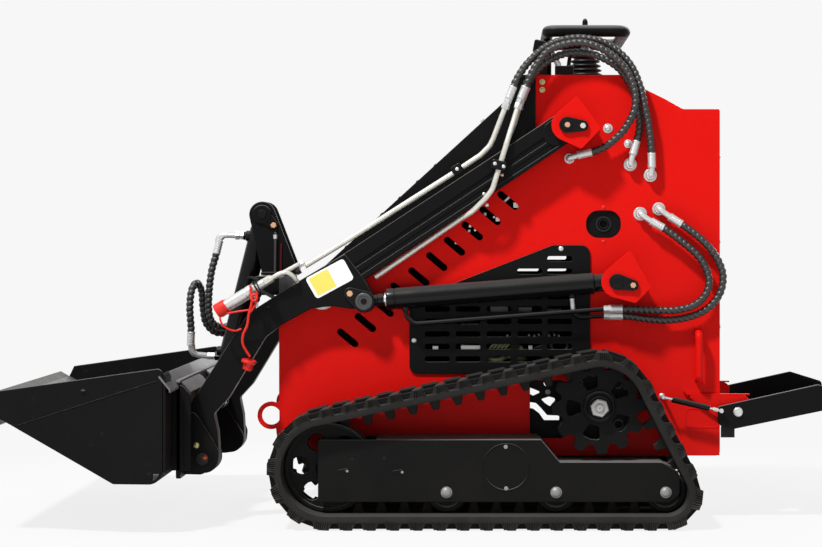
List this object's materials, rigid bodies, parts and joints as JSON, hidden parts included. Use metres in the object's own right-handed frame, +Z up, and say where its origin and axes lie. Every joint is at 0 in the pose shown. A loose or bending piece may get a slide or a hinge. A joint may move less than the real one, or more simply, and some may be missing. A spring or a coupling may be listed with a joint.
{
  "type": "skid steer loader",
  "caption": "Compact stand-on skid steer loader on rubber tracks, with a low red body, a black boom, a bucket and a fold-up rear platform.",
  "frame": {"origin": "on the ground under the middle of the length and width, with the boom down", "axes": "+X to the rear platform, -X to the bucket, +Y to the machine's right, +Z up"},
  "size_m": [2.2916, 1.06, 1.369],
  "materials": {
    "black_paint": "satin",
    "engine_grey": "matte",
    "hose_rubber": "satin",
    "polished_rod": "polished",
    "red_paint": "gloss",
    "rubber": "matte",
    "worn_steel": "worn",
    "zinc_pipe": "satin"
  },
  "bodies": {
    "machine": {"belly_pan": "black_paint", "boom_hose_1": "hose_rubber", "boom_hose_2": "hose_rubber", "boom_hose_3": "hose_rubber", "control_lever": "rubber", "engine": "engine_grey", "front_panel": "red_paint", "grab_handle": "black_paint", "hood": "black_paint", "left_boom_bracket": "red_paint", "left_drive_motor": "black_paint", "left_grille": "black_paint", "left_idler": "black_paint", "left_lift_bracket": "red_paint", "left_lift_hose_lower": "hose_rubber", "left_lift_hose_upper": "hose_rubber", "left_side_plate": "red_paint", "left_sprocket": "black_paint", "left_tie_loop": "red_paint", "left_track": "rubber", "left_track_frame": "black_paint", "rear_panel": "red_paint", "right_boom_bracket": "red_paint", "right_drive_motor": "black_paint", "right_grille": "black_paint", "right_idler": "black_paint", "right_lift_bracket": "red_paint", "right_lift_hose_lower": "hose_rubber", "right_lift_hose_upper": "hose_rubber", "right_side_plate": "red_paint", "right_sprocket": "black_paint", "right_tie_loop": "red_paint", "right_track": "rubber", "right_track_frame": "black_paint", "top_cover": "red_paint"},
    "boom": {"boom_crossbeam": "black_paint", "boom_pipe_inner": "zinc_pipe", "boom_pipe_lower": "zinc_pipe", "boom_pipe_upper": "zinc_pipe", "left_arm": "black_paint", "quick_coupler": "zinc_pipe", "right_arm": "black_paint", "tilt_hose_lower": "hose_rubber", "tilt_hose_upper": "hose_rubber", "tilt_tower": "black_paint"},
    "bucket": {"bucket": "black_paint", "bucket_edge": "worn_steel", "quick_attach": "black_paint"},
    "tilt_barrel": {"tilt_barrel": "black_paint"},
    "tilt_rod": {"tilt_rod": "polished_rod"},
    "platform": {"platform": "black_paint"},
    "left_lift_barrel": {"left_lift_barrel": "black_paint"},
    "left_lift_rod": {"left_lift_rod": "polished_rod"},
    "left_strut_barrel": {"left_strut_barrel": "black_paint"},
    "left_strut_rod": {"left_strut_rod": "polished_rod"},
    "right_lift_barrel": {"right_lift_barrel": "black_paint"},
    "right_lift_rod": {"right_lift_rod": "polished_rod"},
    "right_strut_barrel": {"right_strut_barrel": "black_paint"},
    "right_strut_rod": {"right_strut_rod": "polished_rod"}
  },
  "joints": [
    {"name": "boom_lift", "type": "hinge", "parent": "machine", "child": "boom", "pos_m": [0.37875, 0, 1.054], "axis": [0, 1, 0], "range_deg": [0, 80], "deforming": ["boom_hose_1", "boom_hose_2", "boom_hose_3"]},
    {"name": "left_lift_barrel_swing", "type": "hinge", "parent": "machine", "child": "left_lift_barrel", "pos_m": [0.51075, 0, 0.639], "axis": [0, 1, 0], "range_deg": [0, 56.03], "deforming": ["left_lift_hose_upper", "left_lift_hose_lower"]},
    {"name": "left_lift_rod_slide", "type": "slide", "parent": "left_lift_barrel", "child": "left_lift_rod", "axis": [-0.997, 0, -0.0773], "range_m": [-0.00001, 0.43046]},
    {"name": "right_lift_barrel_swing", "type": "hinge", "parent": "machine", "child": "right_lift_barrel", "pos_m": [0.51075, 0, 0.639], "axis": [0, 1, 0], "range_deg": [0, 56.03], "deforming": ["right_lift_hose_upper", "right_lift_hose_lower"]},
    {"name": "right_lift_rod_slide", "type": "slide", "parent": "right_lift_barrel", "child": "right_lift_rod", "axis": [-0.997, 0, -0.0773], "range_m": [-0.00001, 0.43046]},
    {"name": "bucket_tilt", "type": "hinge", "parent": "boom", "child": "bucket", "pos_m": [-0.58525, 0, 0.171], "axis": [0, -1, 0], "range_deg": [0, 140]},
    {"name": "tilt_barrel_swing", "type": "hinge", "parent": "boom", "child": "tilt_barrel", "pos_m": [-0.45925, 0, 0.82], "axis": [0, 1, 0], "range_deg": [0, 1.31], "deforming": ["tilt_hose_upper", "tilt_hose_lower"]},
    {"name": "tilt_rod_slide", "type": "slide", "parent": "tilt_barrel", "child": "tilt_rod", "axis": [-0.2425, 0, -0.9701], "range_m": [-0.00001, 0.24213]},
    {"name": "platform_fold", "type": "hinge", "parent": "machine", "child": "platform", "pos_m": [0.83575, 0, 0.291], "axis": [0, -1, 0], "range_deg": [-11.5, 75]},
    {"name": "left_strut_barrel_swing", "type": "hinge", "parent": "machine", "child": "left_strut_barrel", "pos_m": [0.63475, 0, 0.331], "axis": [0, 1, 0], "range_deg": [-1.71, 11.16]},
    {"name": "left_strut_rod_slide", "type": "slide", "parent": "left_strut_barrel", "child": "left_strut_rod", "axis": [0.9741, 0, -0.2262], "range_m": [-0.00676, 0.04402]},
    {"name": "right_strut_barrel_swing", "type": "hinge", "parent": "machine", "child": "right_strut_barrel", "pos_m": [0.63475, 0, 0.331], "axis": [0, 1, 0], "range_deg": [-1.71, 11.16]},
    {"name": "right_strut_rod_slide", "type": "slide", "parent": "right_strut_barrel", "child": "right_strut_rod", "axis": [0.9741, 0, -0.2262], "range_m": [-0.00676, 0.04402]}
  ],
  "couplings": [
    {"joint": "left_lift_barrel_swing", "follows": "boom_lift", "ratio": 0.70032},
    {"joint": "left_lift_rod_slide", "follows": "boom_lift", "m_per_rad": 0.30829},
    {"joint": "right_lift_barrel_swing", "follows": "boom_lift", "ratio": 0.70032},
    {"joint": "right_lift_rod_slide", "follows": "boom_lift", "m_per_rad": 0.30829},
    {"joint": "tilt_barrel_swing", "follows": "bucket_tilt", "ratio": 0.00932},
    {"joint": "tilt_rod_slide", "follows": "bucket_tilt", "m_per_rad": 0.09909},
    {"joint": "left_strut_barrel_swing", "follows": "platform_fold", "ratio": 0.14884},
    {"joint": "left_strut_rod_slide", "follows": "platform_fold", "m_per_rad": 0.03362},
    {"joint": "right_strut_barrel_swing", "follows": "platform_fold", "ratio": 0.14884},
    {"joint": "right_strut_rod_slide", "follows": "platform_fold", "m_per_rad": 0.03362}
  ]
}
